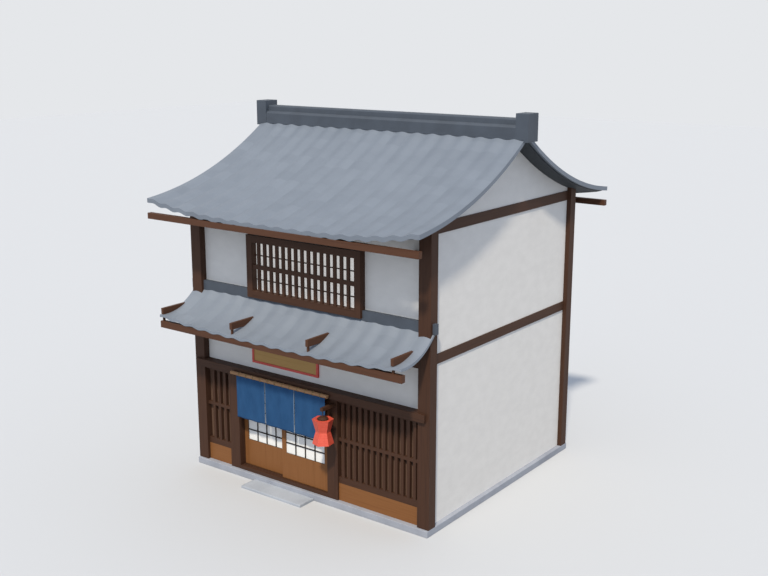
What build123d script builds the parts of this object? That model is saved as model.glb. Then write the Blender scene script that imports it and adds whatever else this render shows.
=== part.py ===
from build123d import *
import math
import os

# Machiya townhouse, two storeys, lengths in millimetres.
# X runs along the street front, Y goes from the street (-Y) to the back, Z is up from the ground.
# The origin lies on the ground under the middle of the house.

# How far a cutting block runs past what it cuts
cut_margin = 10.0

# Plan, over the corner posts
facade_width = 5454.0
house_depth = 4910.0

# Foundation slab and doorstep
plinth_height = 120.0
plinth_ledge = 40.0
step_height = 45.0
step_width = 1450.0
step_depth = 375.0
step_offset = 80.0
step_chamfer = 6.0

# Corner posts and the wall panels between them
post_width = 240.0
post_depth = 200.0
wall_thickness = 65.0
front_setback = 135.0
side_setback = 85.0

# Timber sizes, and the heights of the wall fields between them
sill_height = 70.0
door_height = 1840.0
lintel_height = 140.0
lintel_projection = 60.0
lintel_end_inset = 72.0
band_height = 753.0
girder_height = 227.0
mid_rail_height = 170.0
mid_rail_lift = 32.0
rail_proud = 20.0
rail_ledge = 35.0
upper_wall_height = 1970.0
tie_beam_height = 180.0
floor_board = 30.0
floor_beam_width = 150.0
floor_beam_height = 210.0

# Main roof: a hollow-curved slab on each side of the ridge, measured upright from the middle of the
# tile waves to the underside of the boards, with its eave turned up towards the corners
roof_thickness = 104.0
roof_rise = 1471.0
roof_sag = 187.0
eave_reach = 750.0
eave_drop = 16.0
corner_lift = 212.0
verge_reach = 294.0

# The turned-up eaves rise with this power of the distance from the middle. Each roof sheet is drawn
# through outlines at these parts of its half length.
lift_power = 3
section_places = (-1.0, -0.75, -0.5, -0.25, 0.0, 0.25, 0.5, 0.75, 1.0)

# Ridge course, its cap and the end blocks
ridge_half_depth = 165.0
ridge_course_rise = 130.0
ridge_course_chamfer = 40.0
ridge_cap_half_depth = 95.0
ridge_cap_height = 113.0
ridge_cap_chamfer = 25.0
ridge_block_width = 250.0
ridge_block_half_depth = 170.0
ridge_block_overhang = 383.0
ridge_block_rise = 92.0
ridge_block_drop = 149.0

# Beams under the main roof
ridge_beam_width = 160.0
ridge_beam_height = 220.0
purlin_width = 130.0
purlin_height = 150.0
purlin_place = 1250.0
eave_beam_lip = 15.0
eave_beam_depth = 96.0
eave_beam_drop = 65.0
eave_beam_height = 110.0
eave_beam_overhang = 287.0
eave_strut_width = 90.0
eave_strut_height = 110.0
eave_strut_fall = 204.0
eave_struts = 4
eave_strut_inset = 137.0

# Pent roof over the ground floor
pent_thickness = 50.0
pent_eave_reach = 960.0
pent_eave_lift = 24.0
pent_corner_lift = 106.0
pent_middle_share = 0.27
pent_run = 880.0
pent_rise = 442.0
pent_hollow = 88.0
pent_end_gap = 40.0
pent_overhang = 20.0
pent_beam_inset = 9.0
pent_beam_depth = 96.0
pent_beam_height = 125.0
pent_arms = 4
pent_arm_width = 56.0
pent_arm_height = 117.0
pent_arm_lift = 30.0
pent_arm_rise = 96.0
pent_arm_nose_inset = 9.0
pent_arm_left_inset = 29.0
pent_arm_right_inset = 172.0
pent_tenon_width = 30.0
pent_tenon_thickness = 40.0
pent_tenon_depth = 65.0
flashing_depth = 80.0
flashing_height = 180.0
flashing_overhang = 63.0

# Upper window
window_width = 2600.0
window_lift = 45.0
window_height = 1150.0
window_frame = 130.0
window_bars = 15
window_bar_width = 55.0
window_bar_depth = 45.0
window_bar_setback = 15.0
window_mid_bar = 75.0
window_paper = 8.0

# Doorway, its posts and the two sliding doors
door_centre = -562.0
door_clear_width = 2156.0
jamb_width = 240.0
jamb_setback = 25.0
jamb_depth = 235.0
door_thickness = 40.0
door_gap = 47.0
door_overlap = 90.0
door_first_track = 92.0
door_closing_gap = 6.0
door_play = 12.0
door_stile = 98.0
door_panel_height = 517.0
door_rail = 111.0
door_tongue = 18.0
door_lift = 0.3
door_head_clearance = 6.0
groove_side = 5.0
sill_groove = 8.0
head_groove = 20.0
muntin = 22.0
muntin_setback = 4.0
pane_columns = 4
pane_rows = 6
pane_thickness = 5.0

# Lattice bays on both sides of the doorway
lattice_setback = 60.0
lattice_depth = 60.0
lattice_bar = 58.0
lattice_left_pitch = 150.0
lattice_right_pitch = 128.0
lattice_least_margin = 90.0
lattice_top_rail = 70.0
lattice_mid_rail = 60.0
lattice_mid_place = 675.0
lattice_bottom_rail = 120.0
base_board_height = 330.0
base_board_depth = 40.0
backing_thickness = 12.0

# Door curtain on its rod
curtain_offset = 85.0
rod_radius = 33.0
rod_left_end = 131.0
rod_right_end = 60.0
rod_lift = 53.0
hook_width = 40.0
hook_inset = 5.0
hook_reach = 14.0
hook_lip = 12.0
curtain_width = 2136.0
curtain_length = 815.0
curtain_thickness = 6.0
curtain_slit = 14.0
curtain_clearance = 0.3

# Sign board
sign_offset = 37.0
sign_width = 1590.0
sign_height = 500.0
sign_lift = 124.0
sign_thickness = 40.0
sign_border = 45.0
sign_recess = 12.0

# Lantern and its bracket
lantern_side = 54.0
lantern_reach = 308.0
lantern_sides = 6
lantern_turn = 40.0
lantern_radius = 190.0
lantern_waist_radius = 128.0
lantern_height = 447.0
lantern_mouth_radius = 110.0
lantern_mouth_depth = 30.0
lantern_cap_radius = 93.0
lantern_cap_edge = 45.0
lantern_crown_radius = 56.0
lantern_crown_rise = 26.0
lantern_cap_height = 50.0
lantern_cord_length = 94.0
lantern_cord_radius = 8.0
bracket_width = 60.0
bracket_height = 60.0
bracket_drop = 85.0
bracket_end = 40.0

# Places worked out from the sizes above
post_out_x = facade_width / 2
post_in_x = post_out_x - post_width
post_out_y = house_depth / 2
post_in_y = post_out_y - post_depth
wall_out_x = post_out_x - side_setback
wall_in_x = wall_out_x - wall_thickness
wall_out_y = post_out_y - front_setback
wall_in_y = wall_out_y - wall_thickness
plinth_front = post_out_y + plinth_ledge
sill_top = plinth_height + sill_height
lintel_bottom = sill_top + door_height
lintel_top = lintel_bottom + lintel_height
lintel_front = post_out_y + lintel_projection
girder_bottom = lintel_top + band_height
girder_top = girder_bottom + girder_height
mid_rail_bottom = girder_bottom + mid_rail_lift
mid_rail_top = mid_rail_bottom + mid_rail_height
plate_bottom = girder_top + upper_wall_height
tie_beam_top = plate_bottom + tie_beam_height
eave_height = plate_bottom - eave_drop
ridge_height = eave_height + roof_rise
eave_y = post_out_y + eave_reach
verge_x = post_out_x + verge_reach

os.makedirs("parts", exist_ok=True)


def box(x0, x1, y0, y1, z0, z1):
    """A block between two corners."""
    return Pos((x0 + x1) / 2, (y0 + y1) / 2, (z0 + z1) / 2) * Box(x1 - x0, y1 - y0, z1 - z0)


def save(shape, node):
    """Write one node to its STEP file."""
    shape.label = node
    export_step(shape, "parts/" + node + ".step")


def side_profile(edges, x0, x1):
    """A closed outline in the YZ plane, run from x0 to x1."""
    with BuildPart() as body:
        with BuildSketch(Plane.YZ.offset(x0)):
            with BuildLine():
                for edge in edges:
                    add(edge)
            make_face()
        extrude(amount=x1 - x0)
    return body.part


def closed_outline(points):
    """Straight edges through the points and back to the first."""
    return [Line(points[i - 1], points[i]) for i in range(len(points))]


def mirrored_y(shape):
    """The same piece on the other side of the ridge."""
    return mirror(shape, about=Plane.XZ)


def across(outline, half_length):
    """A solid drawn through the outlines on upright planes from one end of the house to the other."""
    sections = []
    for place in section_places:
        x = place * half_length
        sections.append(Plane.YZ.offset(x) * make_face(outline(x)))
    return loft(sections, ruled=True)


def roof_arc_points(x, drop):
    """Three points of the front slope's curve at x, lowered by drop: eave, middle and ridge."""
    lift = corner_lift * abs(x / verge_x) ** lift_power
    middle_z = (eave_height + ridge_height) / 2 - roof_sag + lift / 4
    return [(-eave_y, eave_height + lift - drop), (-eave_y / 2, middle_z - drop), (0.0, ridge_height - drop)]


def roof_outline(x):
    """The front slope's outline at x: a slab of even upright thickness between two arcs."""
    top = roof_arc_points(x, 0.0)
    under = roof_arc_points(x, roof_thickness)
    return [
        ThreePointArc(top[0], top[1], top[2]),
        Line(top[2], under[2]),
        ThreePointArc(under[2], under[1], under[0]),
        Line(under[0], top[0]),
    ]


def roof_level(y, drop):
    """Height over y of the front slope's curve in the middle of the house, lowered by drop."""
    eave, middle, ridge = roof_arc_points(0.0, drop)
    arc = ThreePointArc(eave, middle, ridge)
    centre = arc.arc_center
    return centre.Y - math.sqrt(arc.radius ** 2 - (-abs(y) - centre.X) ** 2)


def pent_arc(lift, drop):
    """The pent roof's hollow curve with its eave turned up by lift, lowered by drop."""
    eave = (-pent_eave_y, pent_eave_height + lift - drop)
    middle_z = pent_eave_height + pent_rise / 2 - pent_hollow + pent_middle_share * lift
    middle = (-pent_eave_y + pent_run / 2, middle_z - drop)
    head = (-pent_eave_y + pent_run, pent_eave_height + pent_rise - drop)
    return ThreePointArc(eave, middle, head)


def pent_line(x, drop):
    """The pent roof's curve at x, lowered by drop, and the straight end that leads on under the flashing."""
    arc = pent_arc(pent_corner_lift * abs(x / pent_x) ** lift_power, drop)
    level_arc = pent_arc(0.0, drop)
    head = level_arc @ 1
    slope = level_arc % 1
    end_y = -(wall_out_y + pent_end_gap)
    end = (end_y, head.Y + (end_y - head.X) * slope.Y / slope.X)
    return arc, Line((head.X, head.Y), end), end


def pent_outline(x):
    """The pent roof's outline at x: a curved sheet that ends under the flashing."""
    top, top_line, d = pent_line(x, 0.0)
    under, under_line, h = pent_line(x, pent_thickness)
    e = under @ 0
    a = top @ 0
    return [top, top_line, Line(d, h), under_line, under, Line((e.X, e.Y), (a.X, a.Y))]


# Levels of the pent roof, which the arms and the flashing follow
pent_eave_y = wall_out_y + pent_eave_reach
pent_beam_top = girder_top - pent_arm_rise
pent_beam_bottom = pent_beam_top - pent_beam_height
pent_eave_height = pent_beam_top + pent_eave_lift
pent_head_height = pent_eave_height + pent_rise
pent_x = post_out_x + pent_overhang

# Foundation and doorstep
plinth = box(-post_out_x, post_out_x, -plinth_front, plinth_front, 0, plinth_height)
save(plinth, "foundation")

step_x = door_centre + step_offset
doorstep = box(step_x - step_width / 2, step_x + step_width / 2, -plinth_front - step_depth, -plinth_front,
               0, step_height)
doorstep = chamfer(doorstep.edges().group_by(Axis.Z)[-1], step_chamfer)
save(doorstep, "doorstep")

# The two slopes of the main roof, which trim all that carries them
roof_front = across(roof_outline, verge_x)
roof_rear = mirrored_y(roof_front)
save(roof_front, "roof_front")
save(roof_rear, "roof_rear")


def apart(blank):
    """What the roof's slopes leave of a block, from the lowest to the highest piece."""
    return (blank - roof_front - roof_rear).solids().sort_by(Axis.Z)


# Corner posts, from the foundation to the roof's underside
post_blank = apart(box(post_in_x, post_out_x, -post_out_y, -post_in_y, plinth_height, ridge_height))[0]
front_posts = [post_blank, mirror(post_blank, about=Plane.YZ)]
rear_posts = [mirrored_y(post) for post in front_posts]
save(Compound(children=front_posts + rear_posts), "corner_posts")

# Side walls: plaster panels between posts and rails, with a gable above the tie beam
rail_in_x = wall_in_x - rail_ledge
rail_out_x = wall_out_x + rail_proud
side_pieces = {
    "side_walls": [box(wall_in_x, wall_out_x, -post_in_y, post_in_y, plinth_height, mid_rail_bottom),
                   box(wall_in_x, wall_out_x, -post_in_y, post_in_y, mid_rail_top, plate_bottom)],
    "gable_walls": [apart(box(wall_in_x, wall_out_x, -post_in_y, post_in_y, tie_beam_top, ridge_height))[0]],
    "side_rails": [box(rail_in_x, rail_out_x, -post_in_y, post_in_y, mid_rail_bottom, mid_rail_top),
                   box(rail_in_x, rail_out_x, -post_in_y, post_in_y, plate_bottom, tie_beam_top)],
}
for name, pieces in side_pieces.items():
    save(Compound(children=pieces + [mirror(piece, about=Plane.YZ) for piece in pieces]), name)

# Girders and one beam at the upper floor, and wall plates under the roof
girder = box(-post_in_x, post_in_x, -post_out_y, -post_in_y, girder_bottom, girder_top)
floor_beam_top = girder_top - floor_board
floor_beam = box(-floor_beam_width / 2, floor_beam_width / 2, -post_in_y, post_in_y,
                 floor_beam_top - floor_beam_height, floor_beam_top)
save(Compound(children=[girder, mirrored_y(girder)]), "floor_girders")
save(floor_beam, "floor_beam")
save(box(-rail_in_x, rail_in_x, -post_in_y, post_in_y, floor_beam_top, girder_top), "upper_floor")
wall_plate = apart(box(-post_in_x, post_in_x, -post_out_y, -post_in_y, plate_bottom, ridge_height))[0]
save(Compound(children=[wall_plate, mirrored_y(wall_plate)]), "wall_plates")

# Rear wall panels
rear_panels = [box(-post_in_x, post_in_x, wall_in_y, wall_out_y, plinth_height, girder_bottom),
               box(-post_in_x, post_in_x, wall_in_y, wall_out_y, girder_top, plate_bottom)]
save(Compound(children=rear_panels), "rear_walls")

# Plaster band over the lintel
front_band = box(-post_in_x, post_in_x, -wall_out_y, -wall_in_y, lintel_top, girder_bottom)
save(front_band, "front_wall_band")

# Beams inside the roof space
ridge_beam_top = roof_level(ridge_beam_width / 2, roof_thickness)
ridge_beam = apart(box(-wall_in_x, wall_in_x, -ridge_beam_width / 2, ridge_beam_width / 2,
                       ridge_beam_top - ridge_beam_height, ridge_height))[0]
purlin_top = roof_level(purlin_place + purlin_width / 2, roof_thickness)
purlin = apart(box(-wall_in_x, wall_in_x, -purlin_place - purlin_width / 2, -purlin_place + purlin_width / 2,
                   purlin_top - purlin_height, ridge_height))[0]
save(Compound(children=[ridge_beam, purlin, mirrored_y(purlin)]), "roof_beams")

# Eave beams on sloping struts, before and behind the house
beam_front_y = eave_y + eave_beam_lip
beam_back_y = beam_front_y - eave_beam_depth
eave_beam_x = post_out_x + eave_beam_overhang
eave_beam_top = eave_height - eave_beam_drop
eave_beam_bottom = eave_beam_top - eave_beam_height
eave_beam = box(-eave_beam_x, eave_beam_x, -beam_front_y, -beam_back_y, eave_beam_bottom, eave_beam_top)
eave_beam = apart(eave_beam)[0]
save(Compound(children=[eave_beam, mirrored_y(eave_beam)]), "eave_beams")
strut_outline = [
    (-wall_out_y, eave_beam_bottom - eave_strut_fall),
    (-wall_out_y, eave_beam_bottom - eave_strut_fall + eave_strut_height),
    (-beam_back_y, eave_beam_top),
    (-beam_back_y, eave_beam_top - eave_strut_height),
]
strut_edges = closed_outline(strut_outline)
struts = []
outer_strut_x = post_in_x - eave_strut_inset
for i in range(eave_struts):
    strut_x = -outer_strut_x + i * 2 * outer_strut_x / (eave_struts - 1)
    strut = side_profile(strut_edges, strut_x - eave_strut_width / 2, strut_x + eave_strut_width / 2)
    strut = apart(strut)[0]
    struts += [strut, mirrored_y(strut)]
save(Compound(children=struts), "eave_struts")

# Ridge course with its cap, and the end blocks, which also hang over the verges
ridge_block_x = post_out_x + ridge_block_overhang
block_in_x = ridge_block_x - ridge_block_width
ridge_course_top = ridge_height + ridge_course_rise
ridge_cap_top = ridge_course_top + ridge_cap_height
ridge_seat = roof_level(ridge_half_depth, roof_thickness)
ridge = box(-block_in_x, block_in_x, -ridge_half_depth, ridge_half_depth, ridge_seat, ridge_course_top)
ridge = chamfer(ridge.edges().filter_by(Axis.X).group_by(Axis.Z)[-1], ridge_course_chamfer)
ridge = apart(ridge)[-1]
ridge_cap = box(-block_in_x, block_in_x, -ridge_cap_half_depth, ridge_cap_half_depth, ridge_course_top,
                ridge_cap_top)
ridge += chamfer(ridge_cap.edges().filter_by(Axis.X).group_by(Axis.Z)[-1], ridge_cap_chamfer)
block_bottom = ridge_height - ridge_block_drop
block_top = ridge_cap_top + ridge_block_rise
end_block = apart(box(block_in_x, verge_x, -ridge_block_half_depth, ridge_block_half_depth, block_bottom,
                      block_top))[-1]
end_block += box(verge_x, ridge_block_x, -ridge_block_half_depth, ridge_block_half_depth, block_bottom,
                 block_top)
save(ridge, "ridge")
save(Compound(children=[end_block, mirror(end_block, about=Plane.YZ)]), "ridge_ends")

# Pent roof on its eave beam and arms. Each arm lies level over the sheet, passes through it at the wall
# side and is held to the beam by a tenon.
pent_beam_front = pent_eave_y - pent_beam_inset
pent_beam_back = pent_beam_front - pent_beam_depth
pent_arm_bottom = girder_top + pent_arm_lift
pent_arm_top = pent_arm_bottom + pent_arm_height
pent_arm_nose = pent_beam_front - pent_arm_nose_inset
tenon_front = pent_beam_front - (pent_beam_depth - pent_tenon_thickness) / 2
arm_pitch = (facade_width - pent_arm_left_inset - pent_arm_right_inset) / (pent_arms - 1)
arms = []
for i in range(pent_arms):
    place = -post_out_x + pent_arm_left_inset + i * arm_pitch
    back = post_out_y if abs(place) > post_in_x else wall_out_y
    arm = box(place - pent_arm_width / 2, place + pent_arm_width / 2, -pent_arm_nose, -back,
              pent_arm_bottom, pent_arm_top)
    arm += box(place - pent_tenon_width / 2, place + pent_tenon_width / 2, -tenon_front,
               -tenon_front + pent_tenon_thickness, pent_beam_top - pent_tenon_depth, pent_arm_bottom)
    arms.append(arm)
pent_beam = box(-pent_x, pent_x, -pent_beam_front, -pent_beam_back, pent_beam_bottom, pent_beam_top)
pent_sheet = across(pent_outline, pent_x)
pent_beam -= pent_sheet
pent_roof = pent_sheet
for piece in arms:
    pent_roof -= piece
    pent_beam -= piece
for post in front_posts:
    pent_roof -= post
save(pent_roof, "pent_roof")
save(pent_beam, "pent_eave_beam")
save(Compound(children=arms), "pent_arms")

# Flashing over the pent roof's head, cut round the posts and the window
window_bottom = pent_head_height + window_lift
window_top = window_bottom + window_height
flash_x = post_out_x + flashing_overhang
flashing = box(-flash_x, flash_x, -wall_out_y - flashing_depth, -wall_out_y, pent_head_height,
               pent_head_height + flashing_height) - pent_sheet
for post in front_posts:
    flashing -= post
flashing -= box(-window_width / 2, window_width / 2, -post_out_y, -wall_in_y, window_bottom, window_top)
save(flashing, "pent_flashing")

# Upper front wall panel with its window cut through
front_upper = box(-post_in_x, post_in_x, -wall_out_y, -wall_in_y, girder_top, plate_bottom)
front_upper -= box(-window_width / 2, window_width / 2, -wall_out_y - cut_margin, -wall_in_y + cut_margin,
                   window_bottom, window_top)
save(front_upper, "front_wall_upper")

# Upper window: a proud frame, upright bars with one heavy cross bar, and the paper behind
frame_front = post_out_y
frame_back = wall_in_y
win_x = window_width / 2
window_case = box(-win_x, win_x, -frame_front, -frame_back, window_bottom, window_top)
window_case -= box(-win_x + window_frame, win_x - window_frame, -frame_front - cut_margin,
                   -frame_back + cut_margin, window_bottom + window_frame, window_top - window_frame)
save(window_case, "window_frame")
clear_x = win_x - window_frame
clear_z0 = window_bottom + window_frame
clear_z1 = window_top - window_frame
bar_pitch = 2 * clear_x / (window_bars + 1)
bar_y0 = -frame_front + window_bar_setback
bar_y1 = bar_y0 + window_bar_depth
grille = box(-clear_x, clear_x, bar_y0, bar_y1, (clear_z0 + clear_z1 - window_mid_bar) / 2,
             (clear_z0 + clear_z1 + window_mid_bar) / 2)
for i in range(window_bars):
    bar_x = -clear_x + (i + 1) * bar_pitch
    grille += box(bar_x - window_bar_width / 2, bar_x + window_bar_width / 2, bar_y0, bar_y1,
                  clear_z0, clear_z1)
save(grille, "window_bars")
save(box(-clear_x, clear_x, -wall_out_y - window_paper, -wall_out_y, clear_z0, clear_z1), "window_paper")

# Doorway: sill, jambs and lintel with two grooves each for the doors
jamb_front = post_out_y - jamb_setback
door_x0 = door_centre - door_clear_width / 2
door_x1 = door_centre + door_clear_width / 2
jamb_back = jamb_front - jamb_depth
leaf_width = (door_clear_width + door_overlap) / 2 - door_closing_gap
front_track = -jamb_front + door_first_track - door_thickness / 2
rear_track = front_track + door_thickness + door_gap
groove_width = door_tongue + 2 * groove_side


def grooves(z0, z1, x0, x1):
    """The two grooves that the doors run in."""
    cut = []
    for track in (front_track, rear_track):
        cut.append(box(x0, x1, track - groove_width / 2, track + groove_width / 2, z0, z1))
    return cut


sill = box(door_x0, door_x1, -jamb_front, -jamb_back, plinth_height, sill_top)
for cut in grooves(sill_top - sill_groove, sill_top + cut_margin, door_x0, door_x1):
    sill -= cut
save(sill, "door_sill")
lintel_x = post_out_x - lintel_end_inset
lintel = box(-lintel_x, lintel_x, -lintel_front, -wall_in_y, lintel_bottom, lintel_top)
lintel += box(door_x0 - jamb_width, door_x1 + jamb_width, -wall_in_y, -jamb_back, lintel_bottom, lintel_top)
for post in front_posts:
    lintel -= post
for cut in grooves(lintel_bottom - cut_margin, lintel_bottom + head_groove, door_x0, door_x1):
    lintel -= cut
save(lintel, "lintel")
door_posts = [box(x, x + jamb_width, -jamb_front, -jamb_back, plinth_height, lintel_bottom)
              for x in (door_x0 - jamb_width, door_x1)]
save(Compound(children=door_posts), "door_posts")


def door_leaf(x0, track):
    """A door: a board panel below and a glazed grid above, with a tongue at head and foot."""
    x1 = x0 + leaf_width
    y0 = track - door_thickness / 2
    y1 = track + door_thickness / 2
    z0 = sill_top + door_play
    z1 = lintel_bottom - door_play
    glass_z0 = sill_top + door_panel_height
    leaf = box(x0, x1, y0, y1, z0, z1)
    tongue_foot = sill_top - sill_groove + door_lift
    tongue_head = lintel_bottom + head_groove - door_head_clearance
    leaf += box(x0, x1, track - door_tongue / 2, track + door_tongue / 2, tongue_foot, tongue_head)
    leaf -= box(x0 + door_stile, x1 - door_stile, y0 - cut_margin, y1 + cut_margin, glass_z0, z1 - door_rail)
    column = (leaf_width - 2 * door_stile) / pane_columns
    row = (z1 - door_rail - glass_z0) / pane_rows
    grid_y0 = y0 + muntin_setback
    grid_y1 = track - pane_thickness / 2
    for i in range(1, pane_columns):
        x = x0 + door_stile + i * column
        leaf += box(x - muntin / 2, x + muntin / 2, grid_y0, grid_y1, glass_z0, z1 - door_rail)
    for i in range(1, pane_rows):
        z = glass_z0 + i * row
        leaf += box(x0 + door_stile, x1 - door_stile, grid_y0, grid_y1, z - muntin / 2, z + muntin / 2)
    glass = box(x0 + door_stile, x1 - door_stile, track - pane_thickness / 2, track + pane_thickness / 2,
                glass_z0, z1 - door_rail)
    return leaf, glass


left_leaf, left_glass = door_leaf(door_x0 + door_closing_gap, rear_track)
right_leaf, right_glass = door_leaf(door_x1 - door_closing_gap - leaf_width, front_track)
save(left_leaf, "door_left")
save(left_glass, "door_left_panes")
save(right_leaf, "door_right")
save(right_glass, "door_right_panes")

# Lattice bays: upright bars on three rails, a base board below and boards behind
lattice_front = post_out_y - lattice_setback
board_top = plinth_height + base_board_height
rail_heights = [
    (board_top, lattice_bottom_rail),
    (board_top + lattice_bottom_rail + lattice_mid_place, lattice_mid_rail),
    (lintel_bottom - lattice_top_rail, lattice_top_rail),
]
bays = {
    "left": (-post_in_x, door_x0 - jamb_width, lattice_left_pitch),
    "right": (door_x1 + jamb_width, post_in_x, lattice_right_pitch),
}
base_boards = []
backings = []
for side, (bay_x0, bay_x1, pitch) in bays.items():
    panel_y0 = -lattice_front
    panel_y1 = -lattice_front + lattice_depth
    bay_centre = (bay_x0 + bay_x1) / 2
    count = int((bay_x1 - bay_x0 - 2 * lattice_least_margin) / pitch) + 1
    panel = Part()
    for rail_z, rail_height in rail_heights:
        panel += box(bay_x0, bay_x1, panel_y0, panel_y1, rail_z, rail_z + rail_height)
    for i in range(count):
        x = bay_centre + (i - (count - 1) / 2) * pitch
        panel += box(x - lattice_bar / 2, x + lattice_bar / 2, panel_y0, panel_y1, board_top, lintel_bottom)
    save(panel, "lattice_" + side)
    base_boards.append(box(bay_x0, bay_x1, panel_y0, panel_y0 + base_board_depth, plinth_height, board_top))
    backings.append(box(bay_x0, bay_x1, -wall_out_y, -wall_out_y + backing_thickness, plinth_height,
                        lintel_bottom))
save(Compound(children=base_boards), "base_boards")
save(Compound(children=backings), "lattice_backing")

# Door curtain: a rod on two hooks, and three cloth panels
rod_y = -(lintel_front + hook_reach + rod_radius)
rod_height = lintel_bottom + rod_lift
curtain_centre = door_centre + curtain_offset
cloth_x0 = curtain_centre - curtain_width / 2
rod_x0 = cloth_x0 - rod_left_end
rod_x1 = cloth_x0 + curtain_width + rod_right_end
rod = Pos((rod_x0 + rod_x1) / 2, rod_y, rod_height) * Rot(0, 90, 0) * Cylinder(rod_radius, rod_x1 - rod_x0)
save(rod, "curtain_rod")
hooks = []
for x in (rod_x0 + hook_inset, rod_x1 - hook_inset - hook_width):
    hook = box(x, x + hook_width, rod_y, -lintel_front, rod_height - rod_radius - hook_lip, rod_height)
    hooks.append(hook - rod)
save(Compound(children=hooks), "rod_hooks")
panel_width = (curtain_width - 2 * curtain_slit) / 3
cloth_top = rod_height - rod_radius - curtain_clearance
cloths = []
for i in range(3):
    x = cloth_x0 + i * (panel_width + curtain_slit)
    cloths.append(box(x, x + panel_width, rod_y - curtain_thickness / 2, rod_y + curtain_thickness / 2,
                      cloth_top - curtain_length, cloth_top))
save(Compound(children=cloths), "door_curtain")

# Sign board on the plaster band, let into a raised border
sign_x0 = door_centre + sign_offset - sign_width / 2
sign_x1 = sign_x0 + sign_width
sign_y0 = -wall_out_y - sign_thickness
sign_z0 = lintel_top + sign_lift
sign_z1 = sign_z0 + sign_height
sign_board = box(sign_x0 + sign_border, sign_x1 - sign_border, sign_y0 + sign_recess, -wall_out_y,
                 sign_z0 + sign_border, sign_z1 - sign_border)
sign_hole = box(sign_x0 + sign_border, sign_x1 - sign_border, sign_y0 - cut_margin, -wall_out_y,
                sign_z0 + sign_border, sign_z1 - sign_border)
save(box(sign_x0, sign_x1, sign_y0, -wall_out_y, sign_z0, sign_z1) - sign_hole, "sign_frame")
save(sign_board, "sign_board")

# Lantern on a bracket from the right door post
lantern_x = door_x1 + jamb_width / 2 + lantern_side
lantern_y = -jamb_front - lantern_reach
bracket_top = lintel_bottom - bracket_drop
bracket_bottom = bracket_top - bracket_height
bracket = box(lantern_x - bracket_width / 2, lantern_x + bracket_width / 2, lantern_y - bracket_end,
              -jamb_front, bracket_bottom, bracket_top)
save(bracket, "lantern_bracket")
rim_z = bracket_bottom - lantern_cord_length - lantern_cap_height
waist_z = rim_z - lantern_height / 2
lantern_sections = [
    (rim_z - lantern_height, lantern_radius),
    (waist_z, lantern_waist_radius),
    (rim_z, lantern_radius),
]
rings = [Pos(lantern_x, lantern_y, z) * Rot(0, 0, lantern_turn) * RegularPolygon(radius, lantern_sides)
         for z, radius in lantern_sections]
lantern = loft(rings, ruled=True)
mouth_bottom = rim_z - lantern_mouth_depth
lantern -= Pos(lantern_x, lantern_y, mouth_bottom) * Cylinder(
    lantern_mouth_radius, lantern_mouth_depth + cut_margin, align=(Align.CENTER, Align.CENTER, Align.MIN))
save(lantern, "lantern")

# Domed cap in the lantern's mouth, with the cord that hangs the lantern from the bracket
cap_top = lantern_mouth_depth + lantern_cap_height
cap_outline = closed_outline([
    (0, 0),
    (lantern_cap_radius, 0),
    (lantern_cap_radius, lantern_cap_edge),
    (lantern_crown_radius, lantern_cap_edge + lantern_crown_rise),
    (lantern_cord_radius, cap_top),
    (lantern_cord_radius, cap_top + lantern_cord_length),
    (0, cap_top + lantern_cord_length),
])
cap = revolve(Plane.XZ * make_face(cap_outline), Axis.Z)
save(Pos(lantern_x, lantern_y, mouth_bottom) * cap, "lantern_cap")
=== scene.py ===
# Looks of a two-storey machiya townhouse: waved clay tiles, cedar, lime plaster, paper and cotton
import math

import bpy
import numpy as np
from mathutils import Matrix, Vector


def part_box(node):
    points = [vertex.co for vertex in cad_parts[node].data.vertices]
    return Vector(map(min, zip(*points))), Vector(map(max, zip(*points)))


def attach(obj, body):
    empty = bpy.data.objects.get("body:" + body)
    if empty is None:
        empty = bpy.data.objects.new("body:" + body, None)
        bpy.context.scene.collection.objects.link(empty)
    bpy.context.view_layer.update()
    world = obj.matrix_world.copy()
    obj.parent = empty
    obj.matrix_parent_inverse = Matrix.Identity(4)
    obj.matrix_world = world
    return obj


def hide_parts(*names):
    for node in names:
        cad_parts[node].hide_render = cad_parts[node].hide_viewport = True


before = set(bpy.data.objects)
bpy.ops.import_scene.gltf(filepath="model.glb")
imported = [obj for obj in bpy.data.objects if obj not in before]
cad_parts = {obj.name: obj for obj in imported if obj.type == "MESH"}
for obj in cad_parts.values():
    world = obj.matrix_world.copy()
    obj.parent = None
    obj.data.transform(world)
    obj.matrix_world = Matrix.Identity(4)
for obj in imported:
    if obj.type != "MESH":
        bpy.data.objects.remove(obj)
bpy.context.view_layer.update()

HOUSE = "house"
MM = 0.001

# Main roof, with the same curve as its slab in the frame
ROOF_WAVES = 18
ROOF_WAVE_HEIGHT = 14 * MM
ROOF_SLAB = 104 * MM
ROOF_SAG = 187 * MM
ROOF_CORNER_LIFT = 212 * MM
ROOF_TILE_THICKNESS = 78 * MM
ROOF_BOARD_SETBACK = 60 * MM
EAVE_BEAM_DEPTH = 96 * MM
ROOF_LINE_POINTS = 61
POINTS_PER_WAVE = 20
BOARD_STEP = 10

# Pent roof, with the same curve as its sheet in the frame
PENT_WAVE_PITCH = 348.9 * MM
PENT_WAVE_HEIGHT = 13 * MM
PENT_SHEET = 50 * MM
PENT_CORNER_LIFT = 106 * MM
PENT_RUN = 880 * MM
PENT_RISE = 442 * MM
PENT_HOLLOW = 88 * MM
PENT_LINE_POINTS = 29
PENT_COLUMNS = 321

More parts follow.
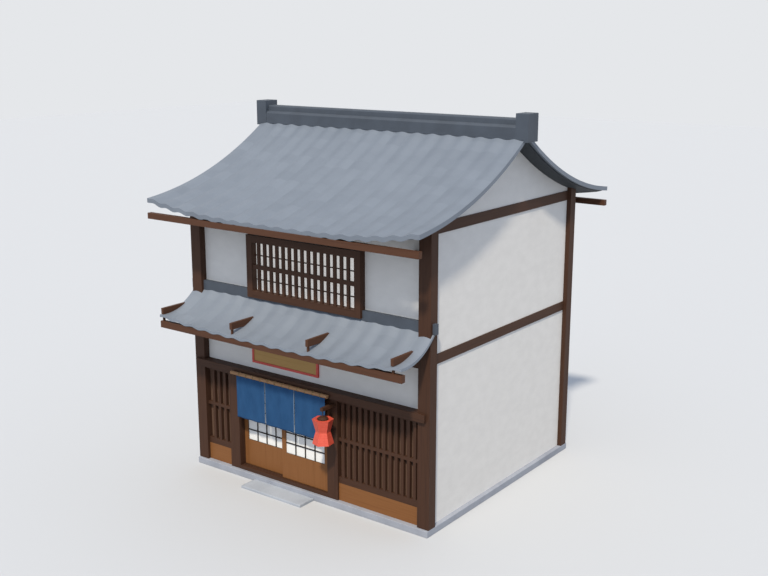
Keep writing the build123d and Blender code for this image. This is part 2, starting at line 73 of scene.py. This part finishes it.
# Door curtain and the loops that hold it
CLOTHS = 3
CLOTH_SLIT = 14 * MM
CLOTH_THICKNESS = 2.4 * MM
# Width of the pale band painted along each side of a slit: painted light seen through the slit
PAINTED_SLIT_LIGHT = 5 * MM
FOLD_DEPTH = 7 * MM
FOLD_GROWTH = 0.7
FOLD_SHIFT = 1.9
FOLDS = 2.5
CLOTH_COLUMNS = 49
CLOTH_ROWS = 33
LOOPS_PER_CLOTH = 4
LOOP_CORD = 5 * MM
LOOP_POINTS = 20
LOOP_CORD_POINTS = 8

# Sliding panes behind the upper window's bars
MUNTIN_WIDTH = 20 * MM
MUNTIN_DEPTH = 14 * MM
MUNTIN_LEVELS = (0.22, 0.72)

# Level rails of the lattices and upright stiles of the upper window, where the grain turns
LATTICE_FOOT_RAIL = 120 * MM
LATTICE_MID_RAIL_FOOT = 795 * MM
LATTICE_MID_RAIL_HEAD = 855 * MM
WINDOW_STILE = 130 * MM

# Sizes that the patterns take from the real materials
GRAIN_WIDTH = 20 * MM
GRAIN_LENGTH = 700 * MM
TROWEL_MARK = 260 * MM
SAND_GRAIN = 6 * MM
TILE_LENGTH = 265 * MM
TILE_GRIT = 5 * MM
GRANITE_SPECK = 12 * MM
PAPER_FIBRE = 8 * MM
THREAD = 3 * MM
PAPER_RIB = 42 * MM
HEMP_STRAND = 4 * MM

# Oil sinks into the cedar, so it throws back less light than a varnish would
OILED_SHEEN = 0.22


# Colours and nodes

def linear(code):
    """An sRGB hex colour as linear red, green and blue with a full alpha."""
    parts = [int(code[i:i + 2], 16) / 255 for i in (1, 3, 5)]
    return [c / 12.92 if c <= 0.04045 else ((c + 0.055) / 1.055) ** 2.4 for c in parts] + [1.0]


def add(tree, kind, inputs=None, out=0, stops=(), **settings):
    """Adds one node and gives back one of its outputs. An input that is a socket is linked, and a hex
    colour is turned linear. Stops are a ramp's places and colours."""
    node = tree.nodes.new("ShaderNode" + kind)
    for name, value in settings.items():
        setattr(node, name, value)
    for name, value in (inputs or {}).items():
        if isinstance(value, bpy.types.NodeSocket):
            tree.links.new(value, node.inputs[name])
        else:
            node.inputs[name].default_value = linear(value) if isinstance(value, str) else value
    for number, (place, code) in enumerate(stops):
        elements = node.color_ramp.elements
        element = elements[number] if number < 2 else elements.new(place)
        element.position = place
        element.color = linear(code)
    return node.outputs[out]


def finish_material(name, roughness, colour, height=None, depth=0.0, **extras):
    """Feeds a colour and a height pattern, each made by a function of the tree, to a new material."""
    material = bpy.data.materials.new(name)
    material.use_nodes = True
    tree = material.node_tree
    shader = tree.nodes["Principled BSDF"]
    shader.inputs["Roughness"].default_value = roughness
    for socket, value in extras.items():
        shader.inputs[socket.replace("_", " ")].default_value = value
    tree.links.new(colour(tree), shader.inputs["Base Color"])
    if height:
        normal = add(tree, "Bump", {"Height": height(tree), "Distance": depth, "Strength": 0.6})
        tree.links.new(normal, shader.inputs["Normal"])
    return material


def cloud(tree, size, stretch=(1, 1, 1), detail=4.0, roughness=0.55):
    """Noise over the piece's own metres. Its marks are about one size across, and longer along an axis where
    the stretch is small."""
    point = add(tree, "TexCoord", out="Object")
    mapped = add(tree, "Mapping", {"Vector": point, "Scale": [s / size for s in stretch]})
    inputs = {"Vector": mapped, "Scale": 1.0, "Detail": detail, "Roughness": roughness}
    return add(tree, "TexNoise", inputs)


# Materials

def grain(tree, along):
    """Streaks of wood grain along X, Y or Z, twice as coarse as real ones so that they show."""
    stretch = [1.0, 1.0, 1.0]
    stretch["XYZ".index(along)] = GRAIN_WIDTH / GRAIN_LENGTH
    fine = cloud(tree, GRAIN_WIDTH, stretch, detail=5.0, roughness=0.6)
    broad = cloud(tree, 5 * GRAIN_WIDTH, stretch, detail=2.0)
    return add(tree, "Mix", {0: 0.45, 2: fine, 3: broad})


def cedar(name, dark, light, along, bands=(), band_axis="Z", band_along="X", roughness=0.6):
    """Planed cedar with an oil stain: soft streaks of two browns along the member, and the other way in
    the bands where a joined frame has its cross pieces."""

    def streaks(tree):
        value = grain(tree, along)
        if bands:
            point = add(tree, "TexCoord", out="Object")
            place = add(tree, "SeparateXYZ", {0: point}, out=band_axis)
            inside = 0.0
            for low, high in bands:
                band = {0: place, 1: (low + high) / 2, 2: (high - low) / 2}
                near = add(tree, "Math", band, operation="COMPARE")
                inside = add(tree, "Math", {0: inside, 1: near}, operation="MAXIMUM")
            value = add(tree, "Mix", {0: inside, 2: value, 3: grain(tree, band_along)})
        return value

    def stain(tree):
        browns = [(0.32, dark), (0.5, light), (0.7, dark)]
        return add(tree, "ValToRGB", {0: streaks(tree)}, stops=browns)

    return finish_material(name, roughness, stain, streaks, 1.0 * MM,
                           Specular_IOR_Level=OILED_SHEEN)


def door_cedar(name, panes):
    """Oiled cedar of a sliding door: warm orange-brown boards, and black thin muntins over the panes."""
    low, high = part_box(panes)

    def stain(tree):
        browns = [(0.3, ORANGE[0]), (0.52, ORANGE[1]), (0.72, ORANGE[0])]
        wood = add(tree, "ValToRGB", {0: grain(tree, "Z")}, stops=browns)
        point = add(tree, "TexCoord", out="Object")
        inside = 1.0
        for axis in "XZ":
            place = add(tree, "SeparateXYZ", {0: point}, out=axis)
            least = getattr(low, axis.lower())
            most = getattr(high, axis.lower())
            band = {0: place, 1: (least + most) / 2, 2: (most - least) / 2}
            near = add(tree, "Math", band, operation="COMPARE")
            inside = add(tree, "Math", {0: inside, 1: near}, operation="MULTIPLY")
        return add(tree, "Mix", {0: inside, 6: wood, 7: "#26201d"}, out=2, data_type="RGBA")

    return finish_material(name, 0.5, stain, lambda tree: grain(tree, "Z"), 0.5 * MM,
                           Specular_IOR_Level=OILED_SHEEN)


def lime_plaster():
    """Lime plaster laid with a steel trowel: off-white and matt, with broad faint marks."""

    def tone(tree):
        return add(tree, "ValToRGB", {0: cloud(tree, TROWEL_MARK, (1, 1, 1.6), detail=6.0)},
                   stops=[(0.35, "#e0ddd8"), (0.65, "#e5e2dd")])

    def marks(tree):
        trowel = cloud(tree, TROWEL_MARK, (1, 1, 1.6))
        return add(tree, "Mix", {0: 0.3, 2: trowel, 3: cloud(tree, SAND_GRAIN)})

    return finish_material("lime_plaster", 0.92, tone, marks, 0.5 * MM)


def clay_tile(name, dark, light):
    """Smoked clay roof tile: blue-grey with a dull sheen, each tile a little lighter or darker."""

    def tone(tree):
        place = add(tree, "UVMap", uv_map="tiles")
        cell = add(tree, "VectorMath", {0: place}, operation="FLOOR")
        each = add(tree, "TexWhiteNoise", {"Vector": cell}, noise_dimensions="3D")
        value = add(tree, "Mix", {0: 0.3, 2: cloud(tree, 0.4, detail=5.0), 3: each})
        return add(tree, "ValToRGB", {0: value}, stops=[(0.3, dark), (0.7, light)])

    return finish_material(name, 0.55, tone, lambda tree: cloud(tree, TILE_GRIT), 0.8 * MM)


def ridge_clay():
    """The darker smoked clay of the ridge and flashing, matt, with a cloudy tone."""

    def tone(tree):
        return add(tree, "ValToRGB", {0: cloud(tree, 0.3, detail=5.0)},
                   stops=[(0.3, "#3d444e"), (0.7, "#454d58")])

    return finish_material("dark_smoked_clay", 0.6, tone, lambda tree: cloud(tree, TILE_GRIT),
                           0.8 * MM)


def granite(name, dark, light):
    """Fine-dressed granite: pale blue-grey with small dark specks, rough to the light."""

    def specks(tree):
        return cloud(tree, GRANITE_SPECK, roughness=0.75)

    def tone(tree):
        value = add(tree, "Mix", {0: 0.45, 2: specks(tree), 3: cloud(tree, 0.5)})
        return add(tree, "ValToRGB", {0: value}, stops=[(0.36, dark), (0.56, light)])

    return finish_material(name, 0.8, tone, specks, 1.0 * MM)


def mulberry_paper(name, painted_glow=0.0):
    """Mulberry paper of the panes: white and matt with pale fibres. The glow is painted light: the paper
    gives off light of its own, with no lamp behind it.
    """

    def tone(tree):
        return add(tree, "ValToRGB", {0: cloud(tree, PAPER_FIBRE, (1, 1, 0.2))},
                   stops=[(0.3, "#ebe9e3"), (0.7, "#f5f4f0")])

    return finish_material(name, 0.85, tone, lambda tree: cloud(tree, PAPER_FIBRE), 0.3 * MM,
                           Emission_Color=linear("#f4f2ee"), Emission_Strength=painted_glow)


def indigo_cotton():
    """Indigo-dyed cotton in plain weave: deep blue and matt, painted pale along the slits as painted light
    that shows through them.
    The threads are drawn coarse enough to show."""
    low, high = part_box("door_curtain")

    def dye(tree):
        blue = add(tree, "ValToRGB", {0: cloud(tree, 0.15, (1, 1, 0.4), detail=5.0)},
                   stops=[(0.28, "#21466d"), (0.72, "#2b527b")])
        place = add(tree, "SeparateXYZ", {0: add(tree, "TexCoord", out="Object")}, out="X")
        # Painted light: the cloth is painted pale in a band along each slit
        edge = 0.0
        for number in range(1, CLOTHS):
            slit_x = low.x + (high.x - low.x) * number / CLOTHS
            band = {0: place, 1: slit_x, 2: CLOTH_SLIT / 2 + PAINTED_SLIT_LIGHT}
            near = add(tree, "Math", band, operation="COMPARE")
            edge = add(tree, "Math", {0: edge, 1: near}, operation="MAXIMUM")
        return add(tree, "Mix", {0: edge, 6: blue, 7: "#8fa1b4"}, out=2, data_type="RGBA")

    def weave(tree):
        place = add(tree, "UVMap", uv_map="cloth")
        turned = add(tree, "Mapping", {"Vector": place, "Scale": [2 * math.pi / THREAD] * 3})
        across = add(tree, "SeparateXYZ", {0: turned}, out="X")
        down = add(tree, "SeparateXYZ", {0: turned}, out="Y")
        warp = add(tree, "Math", {0: across}, operation="SINE")
        weft = add(tree, "Math", {0: down}, operation="SINE")
        return add(tree, "Math", {0: warp, 1: weft}, operation="MULTIPLY")

    return finish_material("indigo_cotton", 0.9, dye, weave, 0.4 * MM, Specular_IOR_Level=0.2)


def hemp_cord():
    """Twisted hemp: straw-coloured, dry and fibrous."""

    def strands(tree):
        return cloud(tree, HEMP_STRAND)

    def tone(tree):
        return add(tree, "ValToRGB", {0: strands(tree)}, stops=[(0.3, "#7f6a45"), (0.7, "#a08a60")])

    return finish_material("hemp_cord", 0.9, tone, strands, 1.0 * MM)


def red_lacquer():
    """Brushed red lacquer over wood: a smooth, slightly cloudy red with a soft gloss."""

    def tone(tree):
        return add(tree, "ValToRGB", {0: cloud(tree, 0.08, (0.3, 1, 1))},
                   stops=[(0.3, "#bb3b31"), (0.7, "#c9463a")])

    def brush_marks(tree):
        return cloud(tree, 0.05, (0.2, 1, 1))

    return finish_material("red_lacquer", 0.38, tone, brush_marks, 0.5 * MM)


def lantern_paper():
    """Oiled red paper over thin bamboo hoops: a warm red with faint level ribs."""

    def tone(tree):
        return add(tree, "ValToRGB", {0: cloud(tree, 0.05)},
                   stops=[(0.3, "#cf4c38"), (0.7, "#da5a45")])

    def ribs(tree):
        height = add(tree, "SeparateXYZ", {0: add(tree, "TexCoord", out="Object")}, out="Z")
        turns = add(tree, "Math", {0: height, 1: 2 * math.pi / PAPER_RIB}, operation="MULTIPLY")
        return add(tree, "Math", {0: turns}, operation="SINE")

    return finish_material("oiled_red_paper", 0.5, tone, ribs, 0.9 * MM)


# Shapes

def make_piece(name, points, faces, material, uv=None, uv_name="tiles", smooth_angle=35.0):
    """A mesh object from arrays of points and faces, riding on the house."""
    mesh = bpy.data.meshes.new(name)
    mesh.from_pydata(np.asarray(points).reshape(-1, 3).tolist(), [], np.asarray(faces).tolist())
    mesh.polygons.foreach_set("use_smooth", np.ones(len(mesh.polygons), bool))
    mesh.set_sharp_from_angle(angle=math.radians(smooth_angle))
    if uv is not None:
        corners = np.empty(len(mesh.loops), int)
        mesh.loops.foreach_get("vertex_index", corners)
        layer = mesh.uv_layers.new(name=uv_name)
        layer.data.foreach_set("uv", np.asarray(uv).reshape(-1, 2)[corners].ravel())
    mesh.materials.append(material)
    mesh.update()
    piece = bpy.data.objects.new(name, mesh)
    bpy.context.collection.objects.link(piece)
    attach(piece, HOUSE)
    return piece


def grid_faces(rows, columns, offset=0):
    """Quads between the points of a grid that is numbered row by row."""
    first = np.arange(rows - 1)[:, None] * columns + np.arange(columns - 1)[None, :]
    first = first.ravel() + offset
    return np.stack([first, first + 1, first + columns + 1, first + columns], axis=1)


def shell(top, under):
    """A closed sheet between two grids of points: both grids, and a strip round their edge."""
    rows, columns = top.shape[:2]
    count = rows * columns
    numbers = np.arange(count).reshape(rows, columns)
    rim = np.concatenate([numbers[0, :-1], numbers[:-1, -1], numbers[-1, :0:-1], numbers[:0:-1, 0]])
    following = np.roll(rim, -1)
    walls = np.stack([rim, rim + count, following + count, following], axis=1)
    below = grid_faces(rows, columns, count)[:, ::-1]
    faces = np.concatenate([grid_faces(rows, columns), below, walls])
    return np.concatenate([top.reshape(-1, 3), under.reshape(-1, 3)]), faces


def arc_through(start, middle, end, count):
    """Points evenly along the circle through three points of a plane."""
    a, b, c = (np.asarray(p, float) for p in (start, middle, end))
    centre = np.linalg.solve(2 * np.array([b - a, c - a]), [b @ b - a @ a, c @ c - a @ a])
    first, last = [math.atan2(p[1] - centre[1], p[0] - centre[0]) for p in (a, c)]
    turn = np.linspace(first, last, count)
    return centre + np.linalg.norm(a - centre) * np.stack([np.cos(turn), np.sin(turn)], axis=1)


def swept(line, half_width, corner_lift, run, columns):
    """A line in Y and Z carried across X. Towards the corners it is lifted by the corner lift, times the
    cube of the distance from the middle, times the square of the distance from its head, both as parts of
    the whole."""
    across = np.linspace(-half_width, half_width, columns)
    from_head = np.clip(1 - np.abs(line[:, 0] - line[0, 0]) / run, 0, 1)
    surface = np.empty((len(line), columns, 3))
    surface[..., 0] = across
    surface[..., 1] = line[:, :1]
    lift = corner_lift * from_head[:, None] ** 2 * np.abs(across / half_width) ** 3
    surface[..., 2] = line[:, 1:] + lift
    return surface


def waved_tiles(name, surface, pitch, half_height, thickness, side, material):
    """Tiles as one sheet: at each x the surface is lifted by half_height times minus the cosine of
    2 pi x / pitch. The underside is the same, one thickness lower."""
    across = surface[0, :, 0]
    top = surface.copy()
    top[..., 2] -= half_height * np.cos(2 * np.pi * across / pitch)
    steps = np.linalg.norm(np.diff(surface[:, 0, 1:], axis=0), axis=1)
    run = np.concatenate([[0.0], np.cumsum(steps)])
    uv = np.stack(np.broadcast_arrays(across[None, :] / pitch, run[:, None] / TILE_LENGTH), axis=-1)
    points, faces = shell(top, top - [0, 0, thickness])
    return make_piece(name, points, faces[:, ::side], material, np.stack([uv, uv]))


def main_roof():
    """Waved tiles and the boards under them on both slopes. The line of a slope is the circle through its
    eave, its ridge and a point that lies the sag below halfway."""
    beam_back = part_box("eave_beams")[1].y - EAVE_BEAM_DEPTH
    for name, side in (("front", -1), ("rear", 1)):
        low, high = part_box("roof_" + name)
        eave = (side * max(-low.y, high.y), low.z + ROOF_SLAB)
        ridge = (0.0, high.z)
        middle = (eave[0] / 2, (eave[1] + ridge[1]) / 2 - ROOF_SAG)
        line = arc_through(eave, middle, ridge, ROOF_LINE_POINTS)
        columns = ROOF_WAVES * POINTS_PER_WAVE + 1
        surface = swept(line, high.x, ROOF_CORNER_LIFT, abs(eave[0]), columns)
        tiles = waved_tiles("roof_tiles_" + name, surface, 2 * high.x / ROOF_WAVES, ROOF_WAVE_HEIGHT,
                            ROOF_TILE_THICKNESS, -side, TILE)
        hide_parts("roof_" + name)
        under = surface[np.abs(line[:, 0]) < beam_back][:, ::BOARD_STEP]
        under[:, [0, -1], 0] += [ROOF_BOARD_SETBACK, -ROOF_BOARD_SETBACK]
        board_top = under - [0, 0, ROOF_WAVE_HEIGHT + ROOF_TILE_THICKNESS]
        points, faces = shell(board_top, under - [0, 0, ROOF_SLAB])
        make_piece("roof_boards_" + name, points, faces[:, ::-side], SOFFIT)


def pent_roof():
    """Waved tiles of the pent roof. Its line is a circle through the eave, the head of the run and a point
    the hollow below halfway, and goes straight on to the wall."""
    low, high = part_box("pent_roof")
    eave = np.array([low.y, low.z + PENT_SHEET])
    middle = eave + [PENT_RUN / 2, PENT_RISE / 2 - PENT_HOLLOW]
    line = arc_through(eave, middle, eave + [PENT_RUN, PENT_RISE], PENT_LINE_POINTS)
    last = line[-1] - line[-2]
    line = np.concatenate([line, [line[-1] + last * (high.y - line[-1, 0]) / last[0]]])
    surface = swept(line, high.x, PENT_CORNER_LIFT, PENT_RUN, PENT_COLUMNS)
    tiles = waved_tiles("pent_tiles", surface, PENT_WAVE_PITCH, PENT_WAVE_HEIGHT, PENT_SHEET, 1,
                        PENT_TILE_PAINTED_PALER)
    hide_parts("pent_roof")


def door_curtain():
    """Three cloths that hang from the rod. A cloth is flat at its head, and towards its hem it swings in
    and out by the fold depth, times the part of its height fallen to the power of the fold growth, times a
    sine across its width."""
    low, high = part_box("door_curtain")
    drop = high.z - low.z
    width = (high.x - low.x - (CLOTHS - 1) * CLOTH_SLIT) / CLOTHS
    middle_y = (low.y + high.y) / 2
    across, down = np.meshgrid(np.linspace(0, 1, CLOTH_COLUMNS), np.linspace(0, 1, CLOTH_ROWS))
    for number in range(CLOTHS):
        left = low.x + number * (width + CLOTH_SLIT)
        turn = 2 * np.pi * FOLDS * across + FOLD_SHIFT * number
        fold = FOLD_DEPTH * down ** FOLD_GROWTH * np.sin(turn)
        points = np.stack([left + width * across, middle_y + fold, high.z - drop * down], axis=-1)
        uv = np.stack([width * across, drop * down], axis=-1)
        faces = grid_faces(*across.shape)[:, ::-1]
        cloth = make_piece(f"door_cloth_{number + 1}", points, faces, COTTON, uv, "cloth",
                           smooth_angle=60.0)
        solid = cloth.modifiers.new("cloth_thickness", "SOLIDIFY")
        solid.thickness = CLOTH_THICKNESS
        solid.offset = 0.0
        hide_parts("door_curtain")
        loops = cord_loops(f"cloth_loops_{number + 1}", left, width)


def cord_loops(name, left, width):
    """Cord rings round the rod. For each, a small circle is carried round a large one that stands in Y and
    Z."""
    low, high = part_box("curtain_rod")
    rod_radius = (high.z - low.z) / 2
    centre = (low + high) / 2
    places = left + width * (np.arange(LOOPS_PER_CLOTH) + 0.5) / LOOPS_PER_CLOTH
    turns = np.linspace(0, 2 * np.pi, LOOP_POINTS + 1)[:-1]
    small_turns = np.linspace(0, 2 * np.pi, LOOP_CORD_POINTS + 1)[:-1]
    around, small = np.meshgrid(turns, small_turns, indexing="ij")
    reach = rod_radius + LOOP_CORD * (1 + np.cos(small))
    ring_y = centre.y + reach * np.cos(around)
    ring_z = centre.z + reach * np.sin(around)
    ring = np.stack([LOOP_CORD * np.sin(small), ring_y, ring_z], axis=-1).reshape(-1, 3)
    rows, columns = around.shape
    number = np.arange(rows * columns).reshape(rows, columns)
    right, below = np.roll(number, -1, axis=1), np.roll(number, -1, axis=0)
    quads = np.stack([number, right, np.roll(right, -1, axis=0), below], axis=-1).reshape(-1, 4)
    points = ring[None] + places[:, None, None] * np.array([1.0, 0.0, 0.0])
    faces = quads[None] + (np.arange(len(places)) * len(ring))[:, None, None]
    return make_piece(name, points, faces.reshape(-1, 4), HEMP, smooth_angle=180.0)


def window_muntins():
    """Thin level bars of the panes behind the upper window's bars, one below and one above the middle.
    Each is a box."""
    low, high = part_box("window_paper")
    front_y = low.y - MUNTIN_DEPTH
    height = high.z - low.z
    levels = low.z + height * np.array(MUNTIN_LEVELS)
    corner = np.array([[x, y, z] for x in (0, 1) for y in (0, 1) for z in (0, 1)], float)
    size = np.array([high.x - low.x, MUNTIN_DEPTH, MUNTIN_WIDTH])
    start = np.stack([np.full(2, low.x), np.full(2, front_y), levels - MUNTIN_WIDTH / 2], axis=-1)
    points = start[:, None] + corner[None] * size
    box_faces = np.array([[0, 1, 3, 2], [4, 6, 7, 5], [0, 4, 5, 1],
                          [2, 3, 7, 6], [0, 2, 6, 4], [1, 5, 7, 3]])
    faces = box_faces[None] + np.array([0, 8])[:, None, None]
    make_piece("window_muntins", points, faces.reshape(-1, 4), CEDAR_X)


def dress_nodes():
    """Gives each node of the frame that shows its material, and eases its sharp edges."""
    for name, (material, edge) in NODE_FINISHES.items():
        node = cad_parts[name]
        node.data.materials.clear()
        node.data.materials.append(material)
        weld = node.modifiers.new("joined_corners", "WELD")
        weld.merge_threshold = 0.05 * MM
        bevel = node.modifiers.new("eased_edges", "BEVEL")
        bevel.width = edge * MM
        bevel.segments = 2
        bevel.limit_method = "ANGLE"
        bevel.angle_limit = math.radians(40)


# Finishes in use. A node's number is how far its edges are eased, in millimetres.
DARK = ("#38241a", "#462e21")
RED_BROWN = ("#472d20", "#543727")
ORANGE = ("#764b28", "#825631")
TILE = clay_tile("smoked_clay_tile", "#6e7681", "#757d88")

# The pent roof gets less of the sky under the eaves, so its tiles are painted a little paler: painted light,
# a brighter copy of the same smoked tile
PENT_TILE_PAINTED_PALER = clay_tile("smoked_clay_tile_painted_paler", "#7a828d", "#818994")
CEDAR_X = cedar("dark_cedar_along_x", *DARK, "X")
CEDAR_Y = cedar("dark_cedar_along_y", *DARK, "Y")
CEDAR_Z = cedar("dark_cedar_upright", *DARK, "Z")
EAVE_X = cedar("red_brown_cedar_along_x", *RED_BROWN, "X")
EAVE_Y = cedar("red_brown_cedar_along_y", *RED_BROWN, "Y")
BOARD_X = cedar("orange_brown_cedar", *ORANGE, "X", roughness=0.5)
SOFFIT = cedar("smoked_soffit_boards", "#2e3236", "#3b4045", "Y")
PLASTER = lime_plaster()
RIDGE = ridge_clay()
COTTON = indigo_cotton()
HEMP = hemp_cord()
PAPER = mulberry_paper("door_paper")

rail_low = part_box("lattice_right")[0].z
LATTICE = cedar("lattice_cedar", *DARK, "Z",
                [(rail_low, rail_low + LATTICE_FOOT_RAIL),
                 (rail_low + LATTICE_MID_RAIL_FOOT, rail_low + LATTICE_MID_RAIL_HEAD)])
window_low, window_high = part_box("window_frame")
WINDOW = cedar("window_cedar", *DARK, "X",
               [(window_low.x, window_low.x + WINDOW_STILE),
                (window_high.x - WINDOW_STILE, window_high.x)], "X", "Z")

NODE_FINISHES = {
    "foundation": (granite("dressed_granite", "#888c96", "#a2a6af"), 8),
    "doorstep": (granite("pale_step_granite", "#9aa0a8", "#b0b6be"), 8),
    "corner_posts": (CEDAR_Z, 5),
    "side_walls": (PLASTER, 2),
    "gable_walls": (PLASTER, 2),
    "side_rails": (CEDAR_Y, 4),
    "floor_girders": (CEDAR_X, 4),
    "floor_beam": (CEDAR_Y, 4),
    "upper_floor": (CEDAR_X, 2),
    "wall_plates": (CEDAR_X, 4),
    "rear_walls": (PLASTER, 2),
    "front_wall_band": (PLASTER, 2),
    "front_wall_upper": (PLASTER, 2),
    "roof_beams": (CEDAR_X, 4),
    "eave_beams": (EAVE_X, 4),
    "eave_struts": (CEDAR_Y, 4),
    "ridge": (RIDGE, 5),
    "ridge_ends": (RIDGE, 8),
    "pent_eave_beam": (EAVE_X, 4),
    "pent_arms": (EAVE_Y, 4),
    "pent_flashing": (RIDGE, 4),
    "window_frame": (WINDOW, 3),
    "window_bars": (CEDAR_Z, 2),
    # The upper window's paper glows with painted light, with no lamp behind it
    "window_paper": (mulberry_paper("window_paper", 0.42), 0.5),
    "door_sill": (CEDAR_X, 3),
    "lintel": (CEDAR_X, 4),
    "door_posts": (CEDAR_Z, 5),
    "door_left": (door_cedar("left_door_cedar", "door_left_panes"), 1.5),
    "door_left_panes": (PAPER, 0.5),
    "door_right": (door_cedar("right_door_cedar", "door_right_panes"), 1.5),
    "door_right_panes": (PAPER, 0.5),
    "lattice_left": (LATTICE, 2),
    "lattice_right": (LATTICE, 2),
    "base_boards": (BOARD_X, 2),
    # The backing is a paler copy of the dark cedar: painted light that lightens the shade in the gaps
    # between the bars
    "lattice_backing": (cedar("lattice_boards_painted_paler", "#594538", "#675042", "Z"), 1),
    "curtain_rod": (cedar("pale_pole", "#9a7350", "#ab8460", "X"), 3),
    "rod_hooks": (CEDAR_Y, 2),
    "sign_board": (cedar("ochre_board", "#ae8850", "#bb965e", "X"), 2),
    "sign_frame": (red_lacquer(), 3),
    "lantern": (lantern_paper(), 1),
    "lantern_cap": (CEDAR_Z, 2),
    "lantern_bracket": (CEDAR_Y, 4),
}

main_roof()
pent_roof()
door_curtain()
window_muntins()
dress_nodes()

# Camera as the photograph has it
camera_data = bpy.data.cameras.new("camera")
camera_data.lens = 50.0
camera_data.sensor_width = 36.0
camera = bpy.data.objects.new("camera", camera_data)
camera.location = (11.951, -16.032, 8.241)
camera.rotation_euler = (math.radians(90 - 13.5), 0, math.radians(36.79))
bpy.context.collection.objects.link(camera)
bpy.context.scene.camera = camera

# Studio: a pale floor that throws little light back up, a soft high sun from the front right, a weak
# broad lamp that lightens the front under its eaves, and an even sky
FLOOR_SEEN = "#c6c7c8"
FLOOR_BOUNCE = "#8f9092"
BACKDROP = "#e5e7ea"
FLOOR_REACH = 80.0
floor_mesh = bpy.data.meshes.new("studio_floor")
corners = FLOOR_REACH * np.array([(-1, -1, 0), (1, -1, 0), (1, 1, 0), (-1, 1, 0)], float)
floor_mesh.from_pydata(corners.tolist(), [], [(0, 1, 2, 3)])
floor = bpy.data.objects.new("studio_floor", floor_mesh)
bpy.context.collection.objects.link(floor)


def floor_tone(tree):
    """The floor is pale to the eye and darker to the light that it throws back."""
    seen = add(tree, "LightPath", out="Is Diffuse Ray")
    return add(tree, "Mix", {0: seen, 6: FLOOR_SEEN, 7: FLOOR_BOUNCE}, out=2, data_type="RGBA")


floor_mesh.materials.append(finish_material("pale_floor", 0.9, floor_tone))


def lamp(name, energy, spread, colour, direction):
    """A far lamp that shines along the direction. Its disc is as wide as the spread, in degrees."""
    data = bpy.data.lights.new(name, "SUN")
    data.energy = energy
    data.angle = math.radians(spread)
    data.color = colour
    light = bpy.data.objects.new(name, data)
    light.rotation_euler = Vector(direction).to_track_quat("-Z", "Y").to_euler()
    bpy.context.collection.objects.link(light)


lamp("sun", 3.2, 4, (1.0, 0.92, 0.79), (-0.279, 0.553, -0.785))
lamp("front_fill", 0.32, 70, (0.9, 0.95, 1.0), (-0.3, 0.93, -0.2))

world = bpy.data.worlds.new("even_sky")
bpy.context.scene.world = world
world.use_nodes = True
sky = world.node_tree
sky.nodes.clear()
even = add(sky, "Background", {"Color": "#d3e1f8", "Strength": 0.8})
pale = add(sky, "Background", {"Color": BACKDROP, "Strength": 1.0})
lit = add(sky, "LightPath", out="Is Diffuse Ray")
both = add(sky, "MixShader", {0: lit, 1: pale, 2: even})
surface = sky.nodes.new("ShaderNodeOutputWorld")
sky.links.new(both, surface.inputs["Surface"])
bpy.context.scene.view_settings.view_transform = "Standard"
